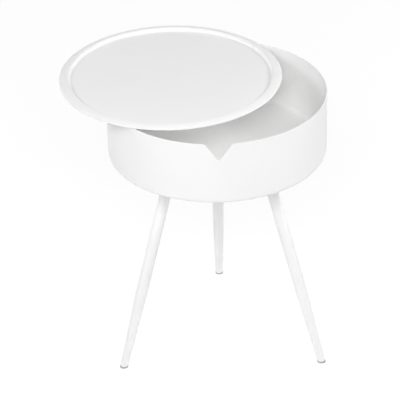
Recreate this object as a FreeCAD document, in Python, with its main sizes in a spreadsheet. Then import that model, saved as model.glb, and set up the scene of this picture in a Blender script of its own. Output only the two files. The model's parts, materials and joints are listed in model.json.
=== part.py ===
import FreeCAD, Part
import math
import os

import Sketcher

# Round side table: a lift-off tray over a sheet-steel storage drum on three splayed legs, whose tubes
# taper towards the floor.
# Millimetres. +Z is up, the origin is on the floor under the drum's axis, and the finger notch in
# the drum's rim faces -Y. The tray lies on the rim, pushed to the left and back of the drum, so
# that part of the storage space is open.

# ---------------------------------------------------------------- driving dimensions

DIMENSIONS = [
    # alias, value, meaning
    ("drum_diameter", 380.0, "outside of the drum's wall"),
    ("rim_height", 498.0, "floor to the drum's rim"),
    ("drum_depth", 115.0, "rim to the underside of the drum"),
    ("drum_gauge", 1.2, "sheet of the drum's wall and of its bottom flange"),
    ("drum_corner_radius", 9.0, "outside bend between wall and flange"),
    ("flange_width", 16.0, "flat of the bottom flange that carries the drum's floor"),
    ("floor_gauge", 1.2, "sheet of the drum's floor disc"),
    ("floor_edge_gap", 0.4, "floor disc to the start of the wall's bend"),
    ("notch_width", 46.5, "finger notch along the rim"),
    ("notch_depth", 32.5, "finger notch from the rim down"),
    ("notch_shoulder_radius", 5.0, "rounding where the notch meets the rim"),
    ("notch_tip_radius", 3.5, "rounding at the notch's lowest point"),
    ("tray_overhang", 3.7, "tray's rolled edge beyond the drum's wall, when the two are centred"),
    ("tray_gauge", 1.0, "sheet of the tray"),
    ("tray_rim_width", 17.7, "outside of the rolled edge to the inner face of the upright wall"),
    ("tray_wall_height", 6.5, "tray's floor to its crest"),
    ("tray_crease_radius", 2.5, "inside bend between the tray's floor and wall"),
    ("tray_crest_radius", 3.5, "outside bend over the crest"),
    ("tray_flank_radius", 22.5, "bulge of the flank from the crest to the edge"),
    ("tray_bead_radius", 1.3, "rolled outer edge of the tray"),
    ("tray_offset_x", -78.4, "tray's centre from the drum's axis"),
    ("tray_offset_y", 53.3, "tray's centre from the drum's axis"),
    ("tray_seat_gap", 0.2, "coat of paint between the rim and the tray"),
    ("rear_azimuth", 90.0, "direction of the rear leg from +X"),
    ("foot_circle_radius", 203.5, "drum's axis to each leg's axis on the floor"),
    ("leg_circle_radius", 90.0, "drum's axis to each leg's axis at the drum's underside"),
    ("plate_diameter", 72.0, "stiffening plate under the drum's floor"),
    ("plate_gauge", 2.0, "stiffening plate"),
    ("boss_diameter", 24.0, "welded boss that the leg screws into"),
    ("boss_length", 16.0, "boss along the leg's axis"),
    ("washer_diameter", 14.8, "spring washer, outside"),
    ("washer_thickness", 2.0, "spring washer"),
    ("washer_slot", 1.6, "split in the spring washer"),
    ("leg_diameter", 20.0, "straight upper part of the leg's tube"),
    ("leg_foot_diameter", 13.3, "tube where its axis meets the floor"),
    ("leg_taper_length", 143.0, "floor to the end of the tube's taper, along the leg's axis"),
    ("leg_gauge", 1.2, "wall of the tube"),
    ("insert_length", 20.0, "threaded insert in the tube's upper end"),
    ("insert_gap", 0.1, "insert to the tube's wall"),
    ("stud_diameter", 8.0, "threaded stud, nominal"),
    ("stud_gap", 0.1, "stud to each bore that it goes into, on the radius"),
    ("stud_depth", 18.0, "part of the stud that is inside the insert"),
    ("stud_tip_gap", 4.0, "stud's end to the stiffening plate, along the leg's axis"),
    ("stud_chamfer", 0.8, "ends of the stud"),
    ("glide_diameter", 14.4, "plastic glide under the leg"),
    ("glide_height", 3.0, "floor to the level end of the tube, straight up"),
    ("glide_edge_radius", 0.6, "upper edge of the glide"),
    ("glide_stem_length", 16.0, "stem of the glide inside the tube"),
    ("glide_stem_gap", 0.1, "stem to the tube's wall"),
]

LEG_NAMES = ["rear", "left", "right"]

# Values that follow from the driving dimensions
FLOOR_UNDERSIDE = "(dim.rim_height - dim.drum_depth + dim.drum_gauge)"
SPLAY = ("atan((dim.foot_circle_radius - dim.leg_circle_radius)"
         " / (dim.rim_height - dim.drum_depth))")
BOSS_ROOT = f"(({FLOOR_UNDERSIDE} - dim.plate_gauge) / cos({SPLAY}))"
BOSS_END = f"({BOSS_ROOT} - dim.boss_length)"
TUBE_END = f"({BOSS_END} - dim.washer_thickness)"
GLIDE_TOP = f"(dim.glide_height / cos({SPLAY}))"
BORE_RADIUS = "(dim.stud_diameter / 2 + dim.stud_gap)"
TRAY_RADIUS = "(dim.drum_diameter / 2 + dim.tray_overhang)"

doc = FreeCAD.newDocument("side_table")
dim = doc.addObject("Spreadsheet::Sheet", "dim")
for row, (alias, number, meaning) in enumerate(DIMENSIONS, start=1):
    dim.set(f"A{row}", alias)
    dim.set(f"B{row}", str(number))
    dim.set(f"C{row}", meaning)
    dim.setAlias(f"B{row}", alias)
doc.recompute()


# ---------------------------------------------------------------- helpers

def number_of(expression):
    """The present value of an expression over the sheet, in millimetres or degrees."""
    return float(getattr(dim.evalExpression(expression), "Value", dim.evalExpression(expression)))


def new_body(label, placement=None):
    """A sub-part. Its label names its file, and its placement follows the sheet."""
    body = doc.addObject("PartDesign::Body", label)
    body.Label = label
    if placement:
        body.setExpression("Placement", placement)
    return body


def new_sketch(body, role, name):
    """An empty sketch on one of the body's own origin planes."""
    sketch = body.newObject("Sketcher::SketchObject", f"{body.Name}_{name}")
    plane = [item for item in body.Origin.OriginFeatures if item.Role == role][0]
    sketch.AttachmentSupport = [(plane, "")]
    sketch.MapMode = "FlatFace"
    return sketch


def constrain(sketch, expression, *constraint):
    """Add a dimension to the sketch and tie it to the sheet."""
    index = sketch.addConstraint(Sketcher.Constraint(*constraint, number_of(expression)))
    sketch.setExpression(f"Constraints[{index}]", expression)


def circle(sketch, radius):
    """A circle round the sketch's origin."""
    item = sketch.addGeometry(Part.Circle(FreeCAD.Vector(), FreeCAD.Vector(0, 0, 1), number_of(radius)))
    sketch.addConstraint(Sketcher.Constraint("Coincident", item, 3, -1, 1))
    constrain(sketch, radius, "Radius", item)


def arc_between(start, end, radius):
    """The short arc from start to end. A positive radius bulges to the right of the way it runs."""
    chord = end - start
    half = chord.Length / 2
    right = FreeCAD.Vector(chord.y, -chord.x, 0).normalize()
    reach = math.sqrt(max(radius ** 2 - half ** 2, 0))
    sag = math.copysign(abs(radius) - reach, radius)
    return Part.Arc(start, start + chord * 0.5 + right * sag, end)


def outline(sketch, corners, arcs=None):
    """A closed outline through corners, each a pair of expressions. arcs gives the radius of the
    stretch that leaves a corner: positive bulges to the right of the way the outline runs."""
    arcs = arcs or {}
    points = [FreeCAD.Vector(number_of(across), number_of(up), 0) for across, up in corners]
    starts, ends, items = [], [], []
    for index, point in enumerate(points):
        following = points[(index + 1) % len(points)]
        if index in arcs:
            item = sketch.addGeometry(arc_between(point, following, number_of(arcs[index])))
            first = 1 if sketch.getPoint(item, 1).distanceToPoint(point) < 1e-6 else 2
        else:
            item = sketch.addGeometry(Part.LineSegment(point, following))
            first = 1
        items.append(item)
        starts.append(first)
        ends.append(3 - first)
    for index, item in enumerate(items):
        before = index - 1
        sketch.addConstraint(
            Sketcher.Constraint("Coincident", items[before], ends[before], item, starts[index]))
        for kind, axis, expression in zip(("DistanceX", "DistanceY"), (-2, -1), corners[index]):
            if expression == "0":
                sketch.addConstraint(
                    Sketcher.Constraint("PointOnObject", item, starts[index], axis))
            else:
                constrain(sketch, expression, kind, item, starts[index])
        if index in arcs:
            constrain(sketch, f"abs({arcs[index]})", "Radius", item)


def revolve(body, name, corners, arcs=None):
    """Turn an outline round the body's own Z axis."""
    sketch = new_sketch(body, "XZ_Plane", f"{name}_profile")
    outline(sketch, corners, arcs)
    turned = body.newObject("PartDesign::Revolution", f"{body.Name}_{name}")
    turned.Profile = sketch
    turned.ReferenceAxis = (sketch, ["V_Axis"])
    turned.Angle = 360
    doc.recompute()
    return turned


def pad(body, name, radii, height):
    """Raise concentric circles from the body's own XY plane: a disc, or a ring."""
    sketch = new_sketch(body, "XY_Plane", f"{name}_profile")
    for radius in radii:
        circle(sketch, radius)
    raised = body.newObject("PartDesign::Pad", f"{body.Name}_{name}")
    raised.Profile = sketch
    raised.setExpression("Length", height)
    doc.recompute()
    return raised


def cut(body, name, role, corners, length=None, arcs=None):
    """Cut an outline out of the body, right through or, from the XZ plane, to a length towards -Y,
    and check that it did."""
    before = body.Shape.Volume
    sketch = new_sketch(body, role, f"{name}_profile")
    outline(sketch, corners, arcs)
    pocket = body.newObject("PartDesign::Pocket", f"{body.Name}_{name}")
    pocket.Profile = sketch
    if length:
        pocket.setExpression("Length", length)
        pocket.Reversed = True
    else:
        pocket.SideType = "Symmetric"
        pocket.Type = "ThroughAll"
    doc.recompute()
    if not body.Shape.Volume < before:
        raise RuntimeError(f"{pocket.Name} cuts nothing")
    return pocket


def fillet(body, name, base, edges, radius):
    """Round some edges of a feature."""
    if not edges:
        raise RuntimeError(f"{body.Name}_{name} finds no edge to round")
    rounded = body.newObject("PartDesign::Fillet", f"{body.Name}_{name}")
    rounded.Base = (base, edges)
    rounded.setExpression("Radius", radius)
    doc.recompute()
    return rounded


def edges_near(feature, places, reach):
    """Names of the straight edges of a feature whose middle is within reach of a place."""
    names = []
    for index, edge in enumerate(feature.Shape.Edges, start=1):
        middle = edge.valueAt((edge.FirstParameter + edge.LastParameter) / 2)
        straight = isinstance(edge.Curve, Part.Line)
        if straight and any(middle.distanceToPoint(place) < reach for place in places):
            names.append(f"Edge{index}")
    return names


def highest_edge(feature):
    """Name of the edge of a feature whose middle of mass lies highest in the body's own frame."""
    heights = [edge.CenterOfMass.z for edge in feature.Shape.Edges]
    return f"Edge{heights.index(max(heights)) + 1}"


# ---------------------------------------------------------------- storage drum

def drum_wall():
    """Rolled wall with its bottom bend and inward flange, and the finger notch in the rim."""
    body = new_body("drum_wall")
    radius = "dim.drum_diameter / 2"
    bottom = "dim.rim_height - dim.drum_depth"
    bend = f"{radius} - dim.drum_corner_radius"
    flange_edge = f"{bend} - dim.flange_width"
    revolve(
        body, "shell",
        [(radius, "dim.rim_height"),
         (f"{radius} - dim.drum_gauge", "dim.rim_height"),
         (f"{radius} - dim.drum_gauge", f"{bottom} + dim.drum_corner_radius"),
         (bend, f"{bottom} + dim.drum_gauge"),
         (flange_edge, f"{bottom} + dim.drum_gauge"),
         (flange_edge, bottom),
         (bend, bottom),
         (radius, f"{bottom} + dim.drum_corner_radius")],
        {2: "-(dim.drum_corner_radius - dim.drum_gauge)", 6: "dim.drum_corner_radius"})
    # The cut runs on as far above the rim as it goes below, so it is twice the notch's width there.
    cut(body, "notch", "XZ_Plane",
        [("0", "dim.rim_height - dim.notch_depth"),
         ("dim.notch_width", "dim.rim_height + dim.notch_depth"),
         ("-dim.notch_width", "dim.rim_height + dim.notch_depth")],
        length=f"{radius} + dim.drum_gauge")
    round_notch(body)


def round_notch(body):
    """Round the two shoulders and the tip of the finger notch."""
    pocket = body.Tip
    mean_radius = number_of("(dim.drum_diameter - dim.drum_gauge) / 2")
    half_width = number_of("dim.notch_width / 2")
    rim = number_of("dim.rim_height")
    shoulder_y = -math.sqrt(mean_radius ** 2 - half_width ** 2)
    shoulders = [FreeCAD.Vector(side * half_width, shoulder_y, rim) for side in (-1, 1)]
    tip = FreeCAD.Vector(0, -mean_radius, rim - number_of("dim.notch_depth"))
    reach = number_of("dim.drum_gauge")
    rounded = fillet(body, "shoulders", pocket, edges_near(pocket, shoulders, reach),
                     "dim.notch_shoulder_radius")
    fillet(body, "tip", rounded, edges_near(rounded, [tip], reach), "dim.notch_tip_radius")


def drum_floor():
    """Flat disc that lies on the wall's flange and is spot-welded to it."""
    body = new_body("drum_floor", f"placement(vector(0; 0; {FLOOR_UNDERSIDE}); rotation(0; 0; 0))")
    pad(body, "disc", ["dim.drum_diameter / 2 - dim.drum_corner_radius - dim.floor_edge_gap"],
        "dim.floor_gauge")


# ---------------------------------------------------------------- lift-off tray

def tray_pan():
    """Pressed tray: flat floor, upright wall, rounded crest, flank that falls outwards, rolled edge."""
    body = new_body(
        "tray_pan",
        "placement(vector(dim.tray_offset_x; dim.tray_offset_y; dim.rim_height + dim.tray_seat_gap);"
        " rotation(0; 0; 0))")
    gauge = "dim.tray_gauge"
    wall = f"({TRAY_RADIUS} - dim.tray_rim_width)"
    crest = f"({gauge} + dim.tray_wall_height)"
    top_radius = f"({wall} + dim.tray_crest_radius)"
    flank_low = f"({crest} - dim.tray_flank_radius)"
    inner_flank = f"(dim.tray_flank_radius - {gauge})"
    sweep = f"asin(({TRAY_RADIUS} - dim.tray_bead_radius - {top_radius}) / {inner_flank})"
    revolve(
        body, "sheet",
        [("0", "0"),
         (f"{wall} - dim.tray_crease_radius", "0"),
         (f"{wall} + {gauge}", f"dim.tray_crease_radius + {gauge}"),
         (f"{wall} + {gauge}", f"{crest} - dim.tray_crest_radius"),
         (top_radius, f"{crest} - {gauge}"),
         (f"{top_radius} + {inner_flank} * sin({sweep})", f"{flank_low} + {inner_flank} * cos({sweep})"),
         (f"{top_radius} + dim.tray_flank_radius * sin({sweep})",
          f"{flank_low} + dim.tray_flank_radius * cos({sweep})"),
         (top_radius, crest),
         (wall, f"{crest} - dim.tray_crest_radius"),
         (wall, f"{gauge} + dim.tray_crease_radius"),
         (f"{wall} - dim.tray_crease_radius", gauge),
         ("0", gauge)],
        {1: f"dim.tray_crease_radius + {gauge}",
         3: f"-(dim.tray_crest_radius - {gauge})",
         4: f"-{inner_flank}",
         6: "dim.tray_flank_radius",
         7: "dim.tray_crest_radius",
         9: "-dim.tray_crease_radius"})
    bead = new_sketch(body, "XZ_Plane", "bead_profile")
    across = f"{top_radius} + {inner_flank} * sin({sweep})"
    up = f"{flank_low} + {inner_flank} * cos({sweep})"
    centre = FreeCAD.Vector(number_of(across), number_of(up), 0)
    ring = bead.addGeometry(
        Part.Circle(centre, FreeCAD.Vector(0, 0, 1), number_of("dim.tray_bead_radius")))
    constrain(bead, "dim.tray_bead_radius", "Radius", ring)
    constrain(bead, across, "DistanceX", ring, 3)
    constrain(bead, up, "DistanceY", ring, 3)
    rolled = body.newObject("PartDesign::Revolution", "tray_pan_bead")
    rolled.Profile = bead
    rolled.ReferenceAxis = (bead, ["V_Axis"])
    rolled.Angle = 360
    doc.recompute()


# ---------------------------------------------------------------- legs
# Each piece of a leg is drawn in the leg's own frame: Z runs up the leg's axis from the floor, and
# X points away from the drum's axis.

def leg_frame(azimuth):
    """Placement of a leg's own frame."""
    return (f"placement(vector(dim.foot_circle_radius * cos({azimuth});"
            f" dim.foot_circle_radius * sin({azimuth}); 0); rotation({azimuth}; -{SPLAY}; 0))")


def level_cut(body, name, at_axis, side, reach):
    """Cut the body off at the level plane that crosses the leg's axis at at_axis. side is + to
    take away what is above, or - for what is below."""
    return cut(body, name, "XZ_Plane",
               [(f"-{reach}", f"{at_axis} + {reach} * tan({SPLAY})"),
                (reach, f"{at_axis} - {reach} * tan({SPLAY})"),
                (reach, f"{at_axis} {side} {reach} * 2"),
                (f"-{reach}", f"{at_axis} {side} {reach} * 2")])


def mount_plate(leg, azimuth):
    """Stiffening plate welded under the drum's floor."""
    body = new_body(
        f"mount_plate_{leg}",
        f"placement(vector(dim.leg_circle_radius * cos({azimuth});"
        f" dim.leg_circle_radius * sin({azimuth}); {FLOOR_UNDERSIDE} - dim.plate_gauge);"
        " rotation(0; 0; 0))")
    pad(body, "disc", ["dim.plate_diameter / 2"], "dim.plate_gauge")


def leg_boss(leg, frame):
    """Boss bored for the stud, mitred against the level stiffening plate."""
    body = new_body(f"leg_boss_{leg}", frame)
    radius = "(dim.boss_diameter / 2)"
    top = f"{BOSS_ROOT} + dim.boss_diameter"
    revolve(body, "blank",
            [(BORE_RADIUS, BOSS_END), (radius, BOSS_END), (radius, top), (BORE_RADIUS, top)])
    level_cut(body, "mitre", BOSS_ROOT, "+", "dim.boss_diameter")


def spring_washer(leg, frame):
    """Split washer between the leg's upper end and the boss."""
    body = new_body(f"spring_washer_{leg}", frame)
    radius = "(dim.washer_diameter / 2)"
    revolve(body, "ring",
            [(BORE_RADIUS, TUBE_END), (radius, TUBE_END), (radius, BOSS_END), (BORE_RADIUS, BOSS_END)])
    half = "dim.washer_slot / 2"
    cut(body, "split", "XY_Plane",
        [("0", f"-{half}"), ("dim.washer_diameter", f"-{half}"),
         ("dim.washer_diameter", half), ("0", half)])


def leg_stud(leg, frame):
    """Threaded stud that joins the leg's insert to the boss."""
    body = new_body(f"leg_stud_{leg}", frame)
    radius = "(dim.stud_diameter / 2)"
    low = f"({TUBE_END} - dim.stud_depth)"
    high = f"({BOSS_ROOT} - dim.stud_tip_gap)"
    revolve(body, "rod",
            [("0", low), (f"{radius} - dim.stud_chamfer", low),
             (radius, f"{low} + dim.stud_chamfer"), (radius, f"{high} - dim.stud_chamfer"),
             (f"{radius} - dim.stud_chamfer", high), ("0", high)])


def leg_insert(leg, frame):
    """Threaded insert inside the upper end of the tube."""
    body = new_body(f"leg_insert_{leg}", frame)
    low = f"({TUBE_END} - dim.insert_length)"
    radius = "(dim.leg_diameter / 2 - dim.leg_gauge - dim.insert_gap)"
    revolve(body, "plug",
            [(BORE_RADIUS, low), (radius, low), (radius, TUBE_END), (BORE_RADIUS, TUBE_END)])


def leg_tube(leg, frame):
    """Steel tube, straight at the top and tapered towards the foot, where it is cut off level."""
    body = new_body(f"leg_tube_{leg}", frame)
    thin = "dim.leg_foot_diameter / 2"
    thick = "dim.leg_diameter / 2"
    revolve(body, "wall",
            [(f"{thin} - dim.leg_gauge", "0"), (thin, "0"),
             (thick, "dim.leg_taper_length"), (thick, TUBE_END),
             (f"{thick} - dim.leg_gauge", TUBE_END),
             (f"{thick} - dim.leg_gauge", "dim.leg_taper_length")])
    level_cut(body, "mitre", GLIDE_TOP, "-", "dim.leg_diameter")


def foot_glide(leg, frame):
    """Plastic glide: a level cap with a rounded upper edge, and a stem in the tube."""
    body = new_body(f"foot_glide_{leg}", frame)
    cap = "(dim.glide_diameter / 2)"
    stem = "(dim.leg_foot_diameter / 2 - dim.leg_gauge - dim.glide_stem_gap)"
    low = f"-{cap}"
    blank_top = f"{GLIDE_TOP} + {cap}"
    stem_top = f"{GLIDE_TOP} + dim.glide_stem_length"
    revolve(body, "blank", [("0", low), (cap, low), (cap, blank_top), ("0", blank_top)])
    trimmed = level_cut(body, "top", GLIDE_TOP, "+", "dim.glide_diameter")
    fillet(body, "edge", trimmed, [highest_edge(trimmed)], "dim.glide_edge_radius")
    revolve(body, "stem", [("0", low), (stem, low), (stem, stem_top), ("0", stem_top)])
    level_cut(body, "sole", "0", "-", "dim.glide_diameter")


# ---------------------------------------------------------------- the table

drum_wall()
drum_floor()
tray_pan()
for order, leg_name in enumerate(LEG_NAMES):
    leg_azimuth = f"(dim.rear_azimuth + {order} * 360 / {len(LEG_NAMES)})"
    mount_plate(leg_name, leg_azimuth)
    for piece in (leg_boss, spring_washer, leg_stud, leg_insert, leg_tube, foot_glide):
        piece(leg_name, leg_frame(leg_azimuth))
doc.recompute()

for item in doc.Objects:
    if "Invalid" in item.State or "Error" in item.State:
        raise RuntimeError(f"{item.Name} failed: {item.State}")

os.makedirs("parts", exist_ok=True)
sub_parts = [item for item in doc.Objects if item.TypeId == "PartDesign::Body"]
for item in sub_parts:
    if item.Shape.isNull() or not item.Shape.isValid() or len(item.Shape.Solids) != 1:
        raise RuntimeError(f"{item.Label} is not one sound solid")
    item.Shape.exportStep(os.path.join("parts", f"{item.Label}.step"))
    box = item.Shape.BoundBox
    print(f"{item.Label:22s} volume {item.Shape.Volume:10.0f}  z {box.ZMin:7.2f} to {box.ZMax:7.2f}")
print(len(sub_parts), "sub-parts")
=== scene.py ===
import json
import math

import bmesh
import bpy
from mathutils import Matrix, Vector


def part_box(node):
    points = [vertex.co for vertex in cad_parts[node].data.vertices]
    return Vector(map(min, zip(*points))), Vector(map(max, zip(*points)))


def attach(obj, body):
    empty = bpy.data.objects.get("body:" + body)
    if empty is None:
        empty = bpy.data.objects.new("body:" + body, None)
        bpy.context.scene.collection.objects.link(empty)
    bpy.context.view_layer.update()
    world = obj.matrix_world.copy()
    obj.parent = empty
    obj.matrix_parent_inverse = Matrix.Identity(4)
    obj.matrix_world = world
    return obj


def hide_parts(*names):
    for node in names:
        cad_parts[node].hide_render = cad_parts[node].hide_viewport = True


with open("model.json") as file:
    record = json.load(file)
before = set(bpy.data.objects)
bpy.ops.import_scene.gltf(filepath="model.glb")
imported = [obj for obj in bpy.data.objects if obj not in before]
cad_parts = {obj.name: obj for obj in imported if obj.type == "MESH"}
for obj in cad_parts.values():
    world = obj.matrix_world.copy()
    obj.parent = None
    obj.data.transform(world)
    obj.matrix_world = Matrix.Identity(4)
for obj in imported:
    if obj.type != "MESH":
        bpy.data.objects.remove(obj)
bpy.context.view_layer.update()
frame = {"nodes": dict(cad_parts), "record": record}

# Round side table: a pressed tray that lifts off a sheet-steel storage drum on three splayed tubes.
# Metres. Sheet sections are written as (distance from the axis, height), and turned.

MM = 0.001
LEGS = ("rear", "left", "right")

# Drum
GAUGE = 1.2 * MM
DRUM_BEND = 9 * MM
FLANGE_WIDTH = 16 * MM
FLOOR_EDGE = 0.3 * MM
NOTCH_WIDTH = 46.5 * MM
NOTCH_DEPTH = 32.5 * MM
NOTCH_SHOULDER = 5 * MM
NOTCH_TIP = 3.5 * MM
SPOT_WELDS = 24
SPOT_WIDTH = 6 * MM
SPOT_HEIGHT = 0.2 * MM
SPOT_TAPER = 0.75

# Tray
TRAY_GAUGE = 1 * MM
RIM_WIDTH = 17.7 * MM
CREASE = 2.5 * MM
CREST = 3.5 * MM
FLANK = 22.5 * MM
CURL = 1.3 * MM
# Degrees: how far short of the curl the flank's underside ends, and where on the curl the outline starts
CURL_SHORT, CURL_START = 5.5, 150

# Legs, along each leg's own axis from the floor
LEG_CIRCLE = 90 * MM
TUBE = 20 * MM
TUBE_FOOT = 13.3 * MM
TAPER_END = 143 * MM
TAPER_BEND = 12 * MM
TUBE_END_LAND = 0.05 * MM
GLIDE = 14.4 * MM
GLIDE_HEIGHT = 3 * MM
GLIDE_EDGE = 0.6 * MM
GLIDE_STEM = 16 * MM
STEM_EDGE = 0.8 * MM
SLIP = 0.1 * MM
WASHER = 14.8 * MM
WASHER_THICKNESS = 2 * MM
WASHER_SLOT = 1.6 * MM
WASHER_EDGE = 0.25 * MM
BOSS = 24 * MM
BOSS_LENGTH = 16 * MM
BOSS_EDGE = 0.5 * MM
STUD = 8 * MM
STUD_PITCH = 1.25 * MM
THREAD_DEPTH = 0.6 * STUD_PITCH
RIDGE_SHARE = 0.62
STUD_DEPTH = 18 * MM
STUD_TIP_GAP = 4 * MM
STUD_CHAMFER = 0.6 * MM
PLATE = 72 * MM
PLATE_GAUGE = 2 * MM
PLATE_EDGE = 0.4 * MM

# Weld beads: their width, the ring they are laid on, and their ripples
BOSS_BEAD = 3.2 * MM
BOSS_BEAD_RING = BOSS + 2 * MM
BOSS_RIPPLES = 70
PLATE_BEAD = 3 * MM
PLATE_BEAD_RING = PLATE + 1 * MM
PLATE_RIPPLES = 180
BEAD_GAP = 0.01 * MM
RIPPLE_LEAST, RIPPLE_MOST = 0.92, 1.08
RIPPLE_HEIGHT = 0.8

# Facets in one turn
FACETS = {"tray": 320, "drum": 300, "floor": 256, "plate": 96,
          "tube": 72, "boss": 72, "glide": 56, "stud": 32}

# How far the points that keep a straight stretch flat lie from its ends, and from a cut
BRACE, FINE_BRACE, CUT_ROW = 0.4 * MM, 0.2 * MM, 0.3 * MM

# The stretch of noise that a finish spreads over its range
NOISE_LOW, NOISE_HIGH = 0.3, 0.7

# Camera: where it stands, what it looks at, and its roll in degrees
CAMERA_EYE = (-0.03294, -3.60212, 2.41082)
CAMERA_TARGET = (-0.03294, 0, 0.28053)
FOCAL_LENGTH, SENSOR = 213.82, 36
CAMERA_ROLL = -1.52

# Floor: its own glow and shade where it is seen, and the share of light that it gives back
FLOOR_GLOW, FLOOR_SHADE, FLOOR_BOUNCE = 0.83, 0.22, 0.95
FLOOR_RADIUS = 12
HORIZON_LIGHT, ZENITH_LIGHT = 0.1, 0.05

# Lamps: azimuth and elevation in degrees, and level
LAMP_DISTANCE, LAMP_SIZE = 3.0, 1.0
LAMP_TARGET = Vector((0, 0, 0.4))
LAMPS = {"front": (269, 35, 0.535), "front_left": (231, 35, 0.1), "front_right": (330, 50, 0.095),
         "left": (180, 35, 0.25), "right": (10, 35, 0.355),
         "back_left": (130, 10, 0.14), "back_right": (55, 10, 0.14)}

wall_low, wall_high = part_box("drum_wall")
DRUM_RADIUS = (wall_high.x - wall_low.x) / 2
BASE, RIM = wall_low.z, wall_high.z
tray_low, tray_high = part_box("tray_pan")
TRAY_RADIUS = (tray_high.x - tray_low.x) / 2
TRAY_PLACE = Vector(((tray_low.x + tray_high.x) / 2, (tray_low.y + tray_high.y) / 2, tray_low.z))
FEET = {mount["name"][5:]: Vector(mount["pos_m"]) for mount in frame["record"]["mounts"]
        if mount["name"].startswith("foot_")}
FLOOR_UNDERSIDE = BASE + GAUGE
SPLAY = math.atan((FEET["rear"].length - LEG_CIRCLE) / BASE)
BOSS_ROOT = (FLOOR_UNDERSIDE - PLATE_GAUGE) / math.cos(SPLAY)
BOSS_END = BOSS_ROOT - BOSS_LENGTH
TUBE_END = BOSS_END - WASHER_THICKNESS


# ---------------------------------------------------------------- sections of bent sheet

def bend(centre, radius, first, last, steps=8):
    """Points of an arc in a section, from one angle to another, in degrees."""
    angles = [math.radians(first + (last - first) * step / steps) for step in range(steps + 1)]
    return [(centre[0] + radius * math.cos(a), centre[1] + radius * math.sin(a)) for a in angles]


def braced(points, inset=BRACE):
    """Add points just inside both ends of each straight stretch, so that it shades flat."""
    made = []
    for first, second in zip(points, points[1:]):
        here, there = Vector(first), Vector(second)
        made.append(tuple(here))
        run = there - here
        if run.length > 6 * inset:
            step = run.normalized() * inset
            made += [tuple(here + step), tuple(here + run * 0.5), tuple(there - step)]
    return made + [points[-1]]


def tray_section():
    """The tray's sheet: flat floor, upright wall, rounded crest, falling flank and curled edge."""
    wall = TRAY_RADIUS - RIM_WIDTH
    top = wall + CREST
    crest = tray_high.z - tray_low.z
    heart = (top, crest - FLANK)
    sweep = math.degrees(math.asin((TRAY_RADIUS - CURL - top) / (FLANK - CURL)))
    fall = 90 - sweep
    curl = (top + (FLANK - CURL) * math.cos(math.radians(fall)),
            crest - FLANK + (FLANK - CURL) * math.sin(math.radians(fall)))
    crease = (wall - CREASE, TRAY_GAUGE + CREASE)
    under = [(0, 0)] + bend(crease, CREASE + TRAY_GAUGE, -90, 0)
    under += bend((top, crest - CREST), CREST - TRAY_GAUGE, 180, 90)
    under += bend(heart, FLANK - TRAY_GAUGE, 90, fall + CURL_SHORT, 12)
    edge = bend(curl, CURL, fall + CURL_START, fall + 360, 20)
    over = bend(heart, FLANK, fall, 90, 12) + bend((top, crest - CREST), CREST, 90, 180)[1:]
    over += bend(crease, CREASE, 0, -90) + [(0, TRAY_GAUGE)]
    return braced(under + edge + over[1:])


def ring_section(inner, outer, low, high, round_over):
    """A plain ring or disc with rounded edges."""
    bottom, top = low + round_over, high - round_over
    corners = [(outer - round_over, bottom, -90), (outer - round_over, top, 0)]
    if inner > 0:
        corners += [(inner + round_over, top, 90), (inner + round_over, bottom, 180)]
    points = []
    for across, up, start in corners:
        points += bend((across, up), round_over, start, start + 90, 5)
    if inner > 0:
        return braced(points + points[:1], round_over)
    return braced([(0, low)] + points + [(0, high)], round_over)


def swage(thin, thick, reach=TAPER_BEND, steps=6):
    """The gentle bend in a tube's wall where its taper meets the straight part."""
    slope = (thick - thin) / TAPER_END
    rows = [2 * step / steps - 1 for step in range(steps + 1)]
    return [(thick - slope * reach * (1 - row) ** 2 / 4, TAPER_END + reach * row) for row in rows]


def tube_section():
    """The tube's wall, tapered towards the foot, with its upper end rounded over."""
    round_over = GAUGE / 2 - TUBE_END_LAND
    thin, thick = TUBE_FOOT / 2, TUBE / 2
    high = TUBE_END - round_over
    points = [(thin - GAUGE, 0), (thin, 0)] + swage(thin, thick)
    points += bend((thick - round_over, high), round_over, 0, 90, 5)
    points += bend((thick - GAUGE + round_over, high), round_over, 90, 180, 5)
    points += reversed(swage(thin - GAUGE, thick - GAUGE))
    return braced(points + points[:1], round_over)


def cap_section():
    """The plastic glide's cap, drawn upright, with a rounded upper edge."""
    cap = GLIDE / 2
    rounded = bend((cap - GLIDE_EDGE, GLIDE_HEIGHT - GLIDE_EDGE), GLIDE_EDGE, 0, 90, 6)
    return braced([(0, 0), (cap, 0)] + rounded + [(0, GLIDE_HEIGHT)], FINE_BRACE)


def stem_section():
    """The plastic glide's stem, which grips the tube."""
    stem = TUBE_FOOT / 2 - GAUGE - SLIP
    top = GLIDE_HEIGHT / math.cos(SPLAY) + GLIDE_STEM
    rounded = bend((stem - STEM_EDGE, top - STEM_EDGE), STEM_EDGE, 0, 90, 4)
    return braced([(0, 0), (stem, 0)] + rounded + [(0, top)], FINE_BRACE)


def stud_section():
    """The stud's core, down to the root of its thread, with chamfered ends."""
    low, high = TUBE_END - STUD_DEPTH, BOSS_ROOT - STUD_TIP_GAP
    root = STUD / 2 - THREAD_DEPTH
    end = root - STUD_CHAMFER
    return braced([(0, low), (end, low), (root, low + STUD_CHAMFER), (root, high - STUD_CHAMFER),
                   (end, high), (0, high)], FINE_BRACE)


# ---------------------------------------------------------------- node trees

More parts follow.
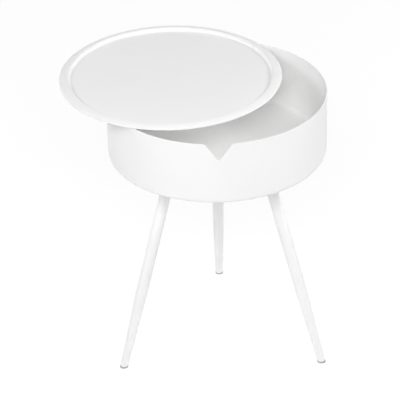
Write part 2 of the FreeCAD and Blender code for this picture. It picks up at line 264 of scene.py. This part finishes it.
class Tree:
    """A node tree for a modifier: named sizes in, one material on what comes out."""

    def __init__(self, name, **sizes):
        self.tree = bpy.data.node_groups.new(name, "GeometryNodeTree")
        face = self.tree.interface
        face.new_socket("Geometry", in_out="OUTPUT", socket_type="NodeSocketGeometry")
        face.new_socket("Geometry", in_out="INPUT", socket_type="NodeSocketGeometry")
        for label, value in sizes.items():
            kind = "NodeSocketInt" if isinstance(value, int) else "NodeSocketFloat"
            face.new_socket(label, in_out="INPUT", socket_type=kind).default_value = value
        face.new_socket("Material", in_out="INPUT", socket_type="NodeSocketMaterial")
        self.entry = self.tree.nodes.new("NodeGroupInput")

    def node(self, kind, links=None, **settings):
        """Add a node. links maps an input's name or number to a value, an output, or a size's name."""
        node = self.tree.nodes.new(kind)
        for key, value in settings.items():
            setattr(node, key, value)
        for key, value in (links or {}).items():
            socket = node.inputs[key]
            if isinstance(value, str):
                value = self.entry.outputs[value]
            if isinstance(value, bpy.types.NodeSocket):
                self.tree.links.new(value, socket)
            else:
                socket.default_value = value
        return node

    def sum(self, operation, first, second, whole=False):
        """One step of arithmetic on numbers."""
        kind = "FunctionNodeIntegerMath" if whole else "ShaderNodeMath"
        return self.node(kind, {0: first, 1: second}, operation=operation).outputs[0]

    def close(self, geometry):
        """End the tree with real, smooth faces and the material."""
        smooth = self.node("GeometryNodeSetShadeSmooth", {"Geometry": geometry})
        real = self.node("GeometryNodeRealizeInstances", {"Geometry": smooth.outputs[0]})
        painted = self.node("GeometryNodeSetMaterial", {
            "Geometry": real.outputs[0], "Material": "Material"})
        last = self.tree.nodes.new("NodeGroupOutput")
        self.tree.links.new(painted.outputs[0], last.inputs["Geometry"])
        return self.tree


def turning_tree():
    """Turn the section that comes in round the Z axis."""
    tree = Tree("turned_sheet", Points=2, Steps=128)
    columns = tree.sum("ADD", "Steps", 1, whole=True)
    grid = tree.node("GeometryNodeMeshGrid", {"Size X": 1.0, "Size Y": 1.0, "Vertices X": columns,
                                              "Vertices Y": "Points"})
    index = tree.node("GeometryNodeInputIndex").outputs[0]
    row = tree.sum("MODULO", index, "Points", whole=True)
    column = tree.sum("DIVIDE", tree.sum("SUBTRACT", index, row, whole=True), "Points", whole=True)
    angle = tree.sum("DIVIDE", tree.sum("MULTIPLY", column, 2 * math.pi), "Steps")
    where = tree.node("GeometryNodeInputPosition").outputs[0]
    point = tree.node("GeometryNodeSampleIndex", {"Geometry": "Geometry", "Value": where, "Index": row},
                      data_type="FLOAT_VECTOR", domain="POINT")
    turned = tree.node("ShaderNodeVectorRotate", {"Vector": point.outputs[0], "Angle": angle},
                       rotation_type="Z_AXIS")
    placed = tree.node("GeometryNodeSetPosition", {
        "Geometry": grid.outputs[0], "Position": turned.outputs[0]})
    welded = tree.node("GeometryNodeMergeByDistance", {"Geometry": placed.outputs[0], "Distance": 1e-6})
    return tree.close(welded.outputs[0])


def weld_tree():
    """A hand-laid weld bead: overlapping ripples round an ellipse."""
    tree = Tree("weld_bead", Length=BOSS, Breadth=BOSS, Ripples=BOSS_RIPPLES, Width=BOSS_BEAD, Seed=7)
    circle = tree.node("GeometryNodeCurvePrimitiveCircle", {"Radius": 1.0, "Resolution": 96},
                       mode="RADIUS")
    half = [tree.sum("DIVIDE", name, 2.0) for name in ("Length", "Breadth")]
    scale = tree.node("ShaderNodeCombineXYZ", {0: half[0], 1: half[1], 2: 1.0})
    path = tree.node("GeometryNodeTransform", {"Geometry": circle.outputs[0], "Scale": scale.outputs[0]})
    points = tree.node("GeometryNodeCurveToPoints", {"Curve": path.outputs[0], "Count": "Ripples"},
                       mode="COUNT")
    ripple = tree.node("GeometryNodeMeshUVSphere", {"Segments": 10, "Rings": 6, "Radius": 0.5})
    wobble = tree.node("FunctionNodeRandomValue", {
        2: RIPPLE_LEAST, 3: RIPPLE_MOST, "Seed": "Seed"}, data_type="FLOAT")
    width = tree.sum("MULTIPLY", "Width", wobble.outputs[1])
    height = tree.sum("MULTIPLY", "Width", RIPPLE_HEIGHT)
    size = tree.node("ShaderNodeCombineXYZ", {0: width, 1: width, 2: height})
    laid = tree.node("GeometryNodeInstanceOnPoints", {
        "Points": points.outputs["Points"], "Instance": ripple.outputs[0],
        "Rotation": points.outputs["Rotation"], "Scale": size.outputs[0]})
    return tree.close(laid.outputs[0])


def spot_tree():
    """A ring of spot-weld marks, each a low flat button."""
    tree = Tree("spot_welds", Radius=DRUM_RADIUS, Marks=SPOT_WELDS, Width=SPOT_WIDTH, Height=SPOT_HEIGHT)
    ring = tree.node("GeometryNodeMeshCircle", {"Vertices": "Marks", "Radius": "Radius"})
    half = tree.sum("DIVIDE", "Width", 2.0)
    mark = tree.node("GeometryNodeMeshCone", {
        "Vertices": 20, "Side Segments": 1, "Fill Segments": 1,
        "Radius Top": tree.sum("MULTIPLY", half, SPOT_TAPER), "Radius Bottom": half, "Depth": "Height"})
    laid = tree.node("GeometryNodeInstanceOnPoints", {
        "Points": ring.outputs[0], "Instance": mark.outputs[0]})
    return tree.close(laid.outputs[0])


def thread_tree():
    """A screw thread: a three-sided ridge wound round a core."""
    tree = Tree("screw_thread", Diameter=STUD, Pitch=STUD_PITCH, Length=STUD_DEPTH)
    ridge = tree.sum("MULTIPLY", "Pitch", RIDGE_SHARE)
    middle = tree.sum("SUBTRACT", tree.sum("DIVIDE", "Diameter", 2.0), ridge)
    turns = tree.sum("DIVIDE", "Length", "Pitch")
    helix = tree.node("GeometryNodeCurveSpiral", {
        "Resolution": 24, "Rotations": turns, "Height": "Length",
        "Start Radius": middle, "End Radius": middle})
    profile = tree.node("GeometryNodeCurvePrimitiveCircle", {"Resolution": 3, "Radius": ridge},
                        mode="RADIUS")
    wound = tree.node("GeometryNodeCurveToMesh", {
        "Curve": helix.outputs[0], "Profile Curve": profile.outputs[0], "Fill Caps": True})
    return tree.close(wound.outputs[0])


def split_ring_tree():
    """A split spring washer: square wire with eased edges, bent into an open ring."""
    tree = Tree("split_ring", Inner=STUD, Outer=WASHER, Thickness=WASHER_THICKNESS, Slot=WASHER_SLOT)
    mean = tree.sum("DIVIDE", tree.sum("ADD", "Inner", "Outer"), 4.0)
    wire = tree.sum("DIVIDE", tree.sum("SUBTRACT", "Outer", "Inner"), 2.0)
    open_angle = tree.sum("DIVIDE", "Slot", mean)
    sweep = tree.sum("SUBTRACT", 2 * math.pi, open_angle)
    arc = tree.node("GeometryNodeCurveArc", {
        "Resolution": 64, "Radius": mean, "Start Angle": tree.sum("DIVIDE", open_angle, 2.0),
        "Sweep Angle": sweep}, mode="RADIUS")
    section = tree.node("GeometryNodeCurvePrimitiveQuadrilateral", {"Width": wire, "Height": "Thickness"})
    eased = tree.node("GeometryNodeFilletCurve", {
        "Curve": section.outputs[0], "Count": 3, "Radius": WASHER_EDGE, "Limit Radius": True}, mode="POLY")
    bent = tree.node("GeometryNodeCurveToMesh", {
        "Curve": arc.outputs[0], "Profile Curve": eased.outputs[0], "Fill Caps": True})
    return tree.close(bent.outputs[0])


# ---------------------------------------------------------------- making pieces

def outwards(mesh):
    """Face a closed mesh outwards."""
    work = bmesh.new()
    work.from_mesh(mesh)
    bmesh.ops.remove_doubles(work, verts=work.verts, dist=1e-6)
    bmesh.ops.recalc_face_normals(work, faces=work.faces)
    work.to_mesh(mesh)
    work.free()
    return mesh


def grow(tree, material, section=None, place=Matrix(), **sizes):
    """Run a node tree once and return what it makes as a plain mesh, put in its place."""
    seed = bpy.data.meshes.new("seed")
    if section:
        edges = [(index, index + 1) for index in range(len(section) - 1)]
        seed.from_pydata([(across, 0, up) for across, up in section], edges, [])
        sizes["Points"] = len(section)
    holder = bpy.data.objects.new("seed", seed)
    bpy.context.scene.collection.objects.link(holder)
    modifier = holder.modifiers.new("grow", "NODES")
    modifier.node_group = tree
    for socket in tree.interface.items_tree:
        if socket.in_out == "INPUT" and socket.name in sizes:
            modifier[socket.identifier] = sizes[socket.name]
        elif socket.name == "Material":
            modifier[socket.identifier] = material
    holder.update_tag()
    graph = bpy.context.evaluated_depsgraph_get()
    mesh = bpy.data.meshes.new_from_object(holder.evaluated_get(graph), depsgraph=graph)
    bpy.data.objects.remove(holder)
    mesh.transform(place)
    return outwards(mesh)


def piece(name, mesh, body="table_base", stands_for=()):
    """A finished piece: its place is in its mesh."""
    mesh.name = name
    made = bpy.data.objects.new(name, mesh)
    bpy.context.scene.collection.objects.link(made)
    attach(made, body)
    if stands_for:
        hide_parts(*stands_for)
    return made


def joined(*meshes):
    """Several meshes of one finish as one."""
    work = bmesh.new()
    for mesh in meshes:
        work.from_mesh(mesh)
    work.to_mesh(meshes[0])
    work.free()
    return meshes[0]


def level_cut(mesh, height, keep_above):
    """Cut a mesh off at a level plane and close it.

    A row of edges just beside the cut keeps the shading of the walls straight up to it."""
    work = bmesh.new()
    work.from_mesh(mesh)
    beside = height + (CUT_ROW if keep_above else -CUT_ROW)
    for level, off in ((beside, False), (height, True)):
        bmesh.ops.bisect_plane(
            work, geom=work.verts[:] + work.edges[:] + work.faces[:], plane_co=(0, 0, level),
            plane_no=(0, 0, 1), clear_inner=off and keep_above, clear_outer=off and not keep_above)
    rims = [edge for edge in work.edges if edge.is_boundary]
    made = bmesh.ops.triangle_fill(work, edges=rims, use_beauty=True, use_dissolve=False,
                                   normal=(0, 0, -1 if keep_above else 1))
    for face in made["geom"]:
        if isinstance(face, bmesh.types.BMFace):
            face.smooth = False
    bmesh.ops.recalc_face_normals(work, faces=work.faces)
    work.to_mesh(mesh)
    work.free()
    return mesh


# ---------------------------------------------------------------- drum wall with its finger notch

def notch_line():
    """Half of the rim's line at the notch, from its tip to the plain rim: (sideways, up)."""
    slope = math.atan(NOTCH_DEPTH / (NOTCH_WIDTH / 2))
    tip = (0, -NOTCH_DEPTH + NOTCH_TIP / math.cos(slope))
    shoulder = (NOTCH_WIDTH / 2 + NOTCH_SHOULDER * math.tan(slope / 2), -NOTCH_SHOULDER)
    turn = math.degrees(slope)
    low = bend(tip, NOTCH_TIP, -90, -90 + turn, 6)
    high = bend(shoulder, NOTCH_SHOULDER, 90 + turn, 90, 8)
    start, end = Vector(low[-1]), Vector(high[0])
    slant = [tuple(start.lerp(end, share)) for share in (0.04, 0.15, 0.3, 0.45, 0.6, 0.75, 0.88, 0.97)]
    return low + slant + high


def wall_section(drop):
    """The drum's wall, flange and bend, where its rim lies this far below the plain rim."""
    bore = DRUM_RADIUS - GAUGE
    heart = (DRUM_RADIUS - DRUM_BEND, BASE + DRUM_BEND)
    edge = DRUM_RADIUS - DRUM_BEND - FLANGE_WIDTH
    lip = RIM - drop - GAUGE / 2
    low = BASE + DRUM_BEND
    rows = [low + (lip - low) * share for share in (0.006, 0.25, 0.5, 0.75, 0.9, 0.985)]
    points = bend(heart, DRUM_BEND, -90, 0, 12) + [(DRUM_RADIUS, row) for row in rows]
    points += bend((DRUM_RADIUS - GAUGE / 2, lip), GAUGE / 2, 0, 180, 8)
    points += [(bore, row) for row in reversed(rows)] + bend(heart, DRUM_BEND - GAUGE, 0, -90, 12)
    points += [(heart[0] - BRACE, BASE + GAUGE), (edge + GAUGE, BASE + GAUGE)]
    points += bend((edge + GAUGE / 2, BASE + GAUGE / 2), GAUGE / 2, 90, 270, 8)
    return points + [(edge + GAUGE, BASE), (heart[0] - BRACE, BASE)]


def drum_wall_mesh(material):
    """The rolled wall. Its columns crowd together at the notch, which faces -Y."""
    half = [(math.asin(across / DRUM_RADIUS), -up) for across, up in notch_line()]
    columns = [(-angle, drop) for angle, drop in reversed(half[1:])] + half
    reach = half[-1][0]
    plain = FACETS["drum"]
    columns += [(reach + (2 * math.pi - 2 * reach) * step / plain, 0.0) for step in range(1, plain)]
    work = bmesh.new()
    rings = []
    for turn, drop in columns:
        angle = turn - math.pi / 2
        rings.append([work.verts.new((across * math.cos(angle), across * math.sin(angle), up))
                      for across, up in wall_section(drop)])
    for index, ring in enumerate(rings):
        following = rings[(index + 1) % len(rings)]
        for row in range(len(ring)):
            above = (row + 1) % len(ring)
            work.faces.new((ring[row], following[row], following[above], ring[above])).smooth = True
    bmesh.ops.recalc_face_normals(work, faces=work.faces)
    mesh = bpy.data.meshes.new("drum_wall")
    work.to_mesh(mesh)
    work.free()
    mesh.materials.append(material)
    return mesh


# ---------------------------------------------------------------- finishes

class Finish:
    """A material for one finish, built from nodes on object coordinates."""

    def __init__(self, name):
        self.material = bpy.data.materials.new(name)
        self.material.use_nodes = True
        self.tree = self.material.node_tree
        self.shader = self.tree.nodes["Principled BSDF"]
        self.place = self.tree.nodes.new("ShaderNodeTexCoord").outputs["Object"]

    def node(self, kind, links=None, **settings):
        """Add a node. links maps an input's name or number to a value or an output."""
        node = self.tree.nodes.new(kind)
        for key, value in settings.items():
            setattr(node, key, value)
        for key, value in (links or {}).items():
            if isinstance(value, bpy.types.NodeSocket):
                self.tree.links.new(value, node.inputs[key])
            else:
                node.inputs[key].default_value = value
        return node

    def noise(self, grain, detail):
        """Noise whose features are this many metres across."""
        return self.node("ShaderNodeTexNoise", {
            "Vector": self.place, "Scale": 1 / grain, "Detail": detail}).outputs[0]

    def between(self, noise, low, high):
        """Noise spread from low to high."""
        return self.node("ShaderNodeMapRange", {
            "Value": noise, "From Min": NOISE_LOW, "From Max": NOISE_HIGH,
            "To Min": low, "To Max": high}).outputs[0]

    def tints(self, value, stops):
        """A colour picked from a ramp of (position, colour)."""
        ramp = self.node("ShaderNodeValToRGB", {0: value})
        while len(ramp.color_ramp.elements) < len(stops):
            ramp.color_ramp.elements.new(0.5)
        for element, (position, colour) in zip(ramp.color_ramp.elements, stops):
            element.position, element.color = position, (*colour, 1)
        return ramp.outputs[0]

    def bump(self, height, depth, under=None):
        """Relief of this depth in metres, laid over another relief."""
        links = {"Height": height, "Distance": depth, "Strength": 1.0}
        if under is not None:
            links["Normal"] = under
        return self.node("ShaderNodeBump", links).outputs[0]

    def drive(self, **sockets):
        """Link outputs to the shader's inputs."""
        for name, output in sockets.items():
            self.tree.links.new(output, self.shader.inputs[name.replace("_", " ")])


def powder_coat():
    """Satin white powder coat: orange peel, fine grain, and a faint unevenness in colour and gloss."""
    finish = Finish("white_powder_coat")
    cloud = finish.noise(0.09, 3.0)
    colour = finish.tints(cloud, [(NOISE_LOW, (0.935, 0.935, 0.933)), (NOISE_HIGH, (0.95, 0.95, 0.948))])
    gloss = finish.between(finish.noise(0.02, 4.0), 0.5, 0.6)
    peel = finish.bump(finish.noise(0.0024, 1.0), 0.000012)
    grain = finish.bump(finish.noise(0.0006, 2.0), 0.0000025, peel)
    finish.drive(Base_Color=colour, Roughness=gloss, Normal=grain)
    return finish.material


def zinc_plate():
    """Bright zinc plate on turned steel, with a faint blue and straw bloom."""
    finish = Finish("zinc_plate")
    bloom = finish.noise(0.004, 3.0)
    blue, plain, straw = (0.56, 0.58, 0.62), (0.66, 0.67, 0.68), (0.70, 0.68, 0.61)
    colour = finish.tints(bloom, [(0.3, blue), (0.5, plain), (0.72, straw)])
    gloss = finish.between(finish.noise(0.0012, 4.0), 0.26, 0.42)
    relief = finish.bump(finish.noise(0.0004, 3.0), 0.000004)
    finish.shader.inputs["Metallic"].default_value = 1.0
    finish.drive(Base_Color=colour, Roughness=gloss, Normal=relief)
    return finish.material


def grey_plastic():
    """Moulded polyethylene with a fine eroded grain and a faint mottle."""
    finish = Finish("grey_plastic")
    mottle = finish.noise(0.003, 3.0)
    colour = finish.tints(mottle, [(NOISE_LOW, (0.40, 0.40, 0.40)), (NOISE_HIGH, (0.44, 0.44, 0.44))])
    gloss = finish.between(finish.noise(0.001, 3.0), 0.48, 0.62)
    relief = finish.bump(finish.noise(0.0005, 2.0), 0.00002)
    finish.drive(Base_Color=colour, Roughness=gloss, Normal=relief)
    return finish.material


# ---------------------------------------------------------------- the table

def leg_place(leg):
    """A leg's own frame: Z runs up its axis from the floor, and X points away from the drum's axis."""
    foot = FEET[leg]
    return (Matrix.Translation(foot) @ Matrix.Rotation(math.atan2(foot.y, foot.x), 4, "Z")
            @ Matrix.Rotation(-SPLAY, 4, "Y"))


def leaning_place(leg):
    """The place at which an upright disc leans like the leg, with its faces still level."""
    foot = FEET[leg]
    lean = Matrix(((1 / math.cos(SPLAY), 0, -math.tan(SPLAY), 0), (0, 1, 0, 0), (0, 0, 1, 0), (0, 0, 0, 1)))
    return Matrix.Translation(foot) @ Matrix.Rotation(math.atan2(foot.y, foot.x), 4, "Z") @ lean


def build_drum(turned, spots, paint):
    """The drum's wall, its floor, and the spot welds that join them."""
    piece("drum_wall_sheet", drum_wall_mesh(paint), stands_for=["drum_wall"])
    low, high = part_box("drum_floor")
    disc = ring_section(0, high.x, low.z, high.z, FLOOR_EDGE)
    piece("drum_floor_disc", grow(turned, paint, section=disc, Steps=FACETS["floor"]),
          stands_for=["drum_floor"])
    marks = grow(spots, paint, place=Matrix.Translation((0, 0, BASE)) @ Matrix.Rotation(math.pi, 4, "X"),
                 Radius=DRUM_RADIUS - DRUM_BEND - FLANGE_WIDTH / 2, Marks=SPOT_WELDS,
                 Width=SPOT_WIDTH, Height=SPOT_HEIGHT)
    piece("flange_spot_welds", marks)


def build_tray(turned, paint):
    """The loose tray, which rides on a body of its own."""
    sheet = grow(turned, paint, section=tray_section(), place=Matrix.Translation(TRAY_PLACE),
                 Steps=FACETS["tray"])
    piece("lift_off_tray", sheet, "tray", ["tray_pan"])


def build_foot(leg, place, turned, paint, plastic):
    """The tube and its glide, both cut level with the floor."""
    tube = grow(turned, paint, section=tube_section(), place=place, Steps=FACETS["tube"])
    piece(f"{leg}_leg_tube", level_cut(tube, GLIDE_HEIGHT, True),
          stands_for=[f"leg_tube_{leg}"])

    cap = grow(turned, plastic, section=cap_section(), place=leaning_place(leg), Steps=FACETS["glide"])
    stem = grow(turned, plastic, section=stem_section(), place=place, Steps=FACETS["glide"])
    piece(f"{leg}_foot_glide", joined(cap, level_cut(stem, GLIDE_HEIGHT / 2, True)),
          stands_for=[f"foot_glide_{leg}"])


def build_seat(leg, place, turned, weld, paint):
    """The boss and its plate under the drum's floor, with their weld beads."""
    bore = STUD / 2 + SLIP
    under = FLOOR_UNDERSIDE - PLATE_GAUGE
    boss = grow(turned, paint, place=place, Steps=FACETS["boss"],
                section=ring_section(bore, BOSS / 2, BOSS_END, BOSS_ROOT + BOSS, BOSS_EDGE))
    piece(f"{leg}_leg_boss", level_cut(boss, under, False),
          stands_for=[f"leg_boss_{leg}"])

    centre = Vector((FEET[leg].x, FEET[leg].y, 0)).normalized() * LEG_CIRCLE
    plate = grow(turned, paint, place=Matrix.Translation(centre), Steps=FACETS["plate"],
                 section=ring_section(0, PLATE / 2, under, FLOOR_UNDERSIDE, PLATE_EDGE))
    piece(f"{leg}_mount_plate", plate, stands_for=[f"mount_plate_{leg}"])

    turn = Matrix.Rotation(math.atan2(FEET[leg].y, FEET[leg].x), 4, "Z")
    root = place @ Vector((0, 0, BOSS_ROOT))
    at_boss = Matrix.Translation((root.x, root.y, under)) @ turn
    at_plate = Matrix.Translation((centre.x, centre.y, FLOOR_UNDERSIDE)) @ turn
    boss_bead = grow(weld, paint, place=at_boss, Length=BOSS_BEAD_RING / math.cos(SPLAY),
                     Breadth=BOSS_BEAD_RING, Ripples=BOSS_RIPPLES, Width=BOSS_BEAD)
    plate_bead = grow(weld, paint, place=at_plate, Length=PLATE_BEAD_RING,
                      Breadth=PLATE_BEAD_RING, Ripples=PLATE_RIPPLES, Width=PLATE_BEAD, Seed=11)
    level_cut(boss_bead, under - BEAD_GAP, False)
    level_cut(plate_bead, FLOOR_UNDERSIDE - BEAD_GAP, False)
    piece(f"{leg}_plate_welds", joined(boss_bead, plate_bead))


def build_stud(leg, place, turned, thread, split_ring, zinc):
    """The spring washer, the stud with its thread, and the insert that holds it."""
    middle = TUBE_END + WASHER_THICKNESS / 2
    washer = grow(split_ring, zinc, place=place @ Matrix.Translation((0, 0, middle)),
                  Inner=2 * (STUD / 2 + SLIP), Outer=WASHER, Thickness=WASHER_THICKNESS)
    piece(f"{leg}_spring_washer", washer, stands_for=[f"spring_washer_{leg}"])

    core = grow(turned, zinc, section=stud_section(), place=place, Steps=FACETS["stud"])
    low, high = TUBE_END - STUD_DEPTH + STUD_PITCH, BOSS_ROOT - STUD_TIP_GAP - STUD_PITCH
    ridge = grow(thread, zinc, place=place @ Matrix.Translation((0, 0, low)),
                 Diameter=STUD, Pitch=STUD_PITCH, Length=high - low)
    piece(f"{leg}_leg_stud", joined(core, ridge), stands_for=[f"leg_stud_{leg}"])

    insert = frame["nodes"][f"leg_insert_{leg}"]
    insert.data.materials.clear()
    insert.data.materials.append(zinc)


# ---------------------------------------------------------------- camera, floor and light

def set_camera():
    """The camera looks down on the front of the table."""
    eye = Vector(CAMERA_EYE)
    ahead = (Vector(CAMERA_TARGET) - eye).normalized()
    right = ahead.cross(Vector((0, 0, 1))).normalized()
    up = right.cross(ahead)
    tilt = math.radians(CAMERA_ROLL)
    across = right * math.cos(tilt) + up * math.sin(tilt)
    along = up * math.cos(tilt) - right * math.sin(tilt)
    lens = bpy.data.cameras.new("camera")
    lens.lens, lens.sensor_width = FOCAL_LENGTH, SENSOR
    camera = bpy.data.objects.new("camera", lens)
    turn = Matrix((across, along, -ahead)).transposed().to_4x4()
    camera.matrix_world = Matrix.Translation(eye) @ turn
    bpy.context.scene.collection.objects.link(camera)
    bpy.context.scene.camera = camera


def seen_directly(tree):
    """1 where the eye, or a mirror, looks straight at the background."""
    path = tree.nodes.new("ShaderNodeLightPath")
    total = path.outputs["Is Camera Ray"]
    for name in ("Is Glossy Ray", "Is Transmission Ray"):
        step = tree.nodes.new("ShaderNodeMath")
        step.operation = "MAXIMUM"
        tree.links.new(total, step.inputs[0])
        tree.links.new(path.outputs[name], step.inputs[1])
        total = step.outputs[0]
    return total


def set_floor():
    """A wide white floor. Seen directly it is nearly plain white, and keeps a faint shadow."""
    mesh = bpy.data.meshes.new("studio_floor")
    work = bmesh.new()
    bmesh.ops.create_circle(work, cap_ends=True, segments=96, radius=FLOOR_RADIUS)
    work.to_mesh(mesh)
    work.free()
    floor = bpy.data.objects.new("studio_floor", mesh)
    bpy.context.scene.collection.objects.link(floor)
    material = bpy.data.materials.new("studio_floor")
    material.use_nodes = True
    tree = material.node_tree
    bounce = tree.nodes.new("ShaderNodeBsdfDiffuse")
    bounce.inputs["Color"].default_value = (FLOOR_BOUNCE, FLOOR_BOUNCE, FLOOR_BOUNCE, 1)
    seen = tree.nodes.new("ShaderNodeBsdfDiffuse")
    seen.inputs["Color"].default_value = (FLOOR_SHADE, FLOOR_SHADE, FLOOR_SHADE, 1)
    white = tree.nodes.new("ShaderNodeEmission")
    white.inputs["Color"].default_value = (1, 1, 1, 1)
    white.inputs["Strength"].default_value = FLOOR_GLOW
    total, mixed = tree.nodes.new("ShaderNodeAddShader"), tree.nodes.new("ShaderNodeMixShader")
    tree.links.new(white.outputs[0], total.inputs[0])
    tree.links.new(seen.outputs[0], total.inputs[1])
    tree.links.new(seen_directly(tree), mixed.inputs[0])
    tree.links.new(bounce.outputs[0], mixed.inputs[1])
    tree.links.new(total.outputs[0], mixed.inputs[2])
    tree.links.new(mixed.outputs[0], tree.nodes["Material Output"].inputs["Surface"])
    mesh.materials.append(material)


def set_world():
    """Soft light from all round, stronger near the horizon. Seen directly it is plain white."""
    world = bpy.data.worlds.new("studio")
    bpy.context.scene.world = world
    world.use_nodes = True
    tree = world.node_tree
    light = tree.nodes["Background"]
    white = tree.nodes.new("ShaderNodeBackground")
    white.inputs["Color"].default_value = light.inputs["Color"].default_value = (1, 1, 1, 1)
    place = tree.nodes.new("ShaderNodeTexCoord")
    height = tree.nodes.new("ShaderNodeSeparateXYZ")
    level = tree.nodes.new("ShaderNodeMapRange")
    level.inputs["To Min"].default_value = HORIZON_LIGHT
    level.inputs["To Max"].default_value = ZENITH_LIGHT
    mixed = tree.nodes.new("ShaderNodeMixShader")
    tree.links.new(place.outputs["Generated"], height.inputs[0])
    tree.links.new(height.outputs["Z"], level.inputs["Value"])
    tree.links.new(level.outputs[0], light.inputs["Strength"])
    tree.links.new(seen_directly(tree), mixed.inputs[0])
    tree.links.new(light.outputs[0], mixed.inputs[1])
    tree.links.new(white.outputs[0], mixed.inputs[2])
    tree.links.new(mixed.outputs[0], tree.nodes["World Output"].inputs["Surface"])


def soft_light(name, azimuth, elevation, level):
    """A square lamp aimed at the table. A level of 1 alone shows a colour as it is written."""
    lamp = bpy.data.lights.new(name, "AREA")
    lamp.size = LAMP_SIZE
    lamp.energy = level * (math.pi * LAMP_DISTANCE) ** 2
    turn, rise = math.radians(azimuth), math.radians(elevation)
    away = Vector((math.cos(rise) * math.cos(turn), math.cos(rise) * math.sin(turn), math.sin(rise)))
    light = bpy.data.objects.new(name, lamp)
    facing = away.to_track_quat("Z", "Y").to_matrix().to_4x4()
    light.matrix_world = Matrix.Translation(LAMP_TARGET + away * LAMP_DISTANCE) @ facing
    bpy.context.scene.collection.objects.link(light)


# ---------------------------------------------------------------- build

paint, zinc, plastic = powder_coat(), zinc_plate(), grey_plastic()
turned = turning_tree()
build_drum(turned, spot_tree(), paint)
build_tray(turned, paint)
weld, thread, split_ring = weld_tree(), thread_tree(), split_ring_tree()
for leg_name in LEGS:
    along_leg = leg_place(leg_name)
    build_foot(leg_name, along_leg, turned, paint, plastic)
    build_seat(leg_name, along_leg, turned, weld, paint)
    build_stud(leg_name, along_leg, turned, thread, split_ring, zinc)

set_camera()
set_floor()
set_world()
for lamp_name, (azimuth, elevation, level) in LAMPS.items():
    soft_light(lamp_name, azimuth, elevation, level)
bpy.context.scene.view_settings.view_transform = "Standard"
# White sheet lights white sheet many times over inside the drum.
bpy.context.scene.cycles.diffuse_bounces = 12
bpy.context.scene.cycles.max_bounces = 16
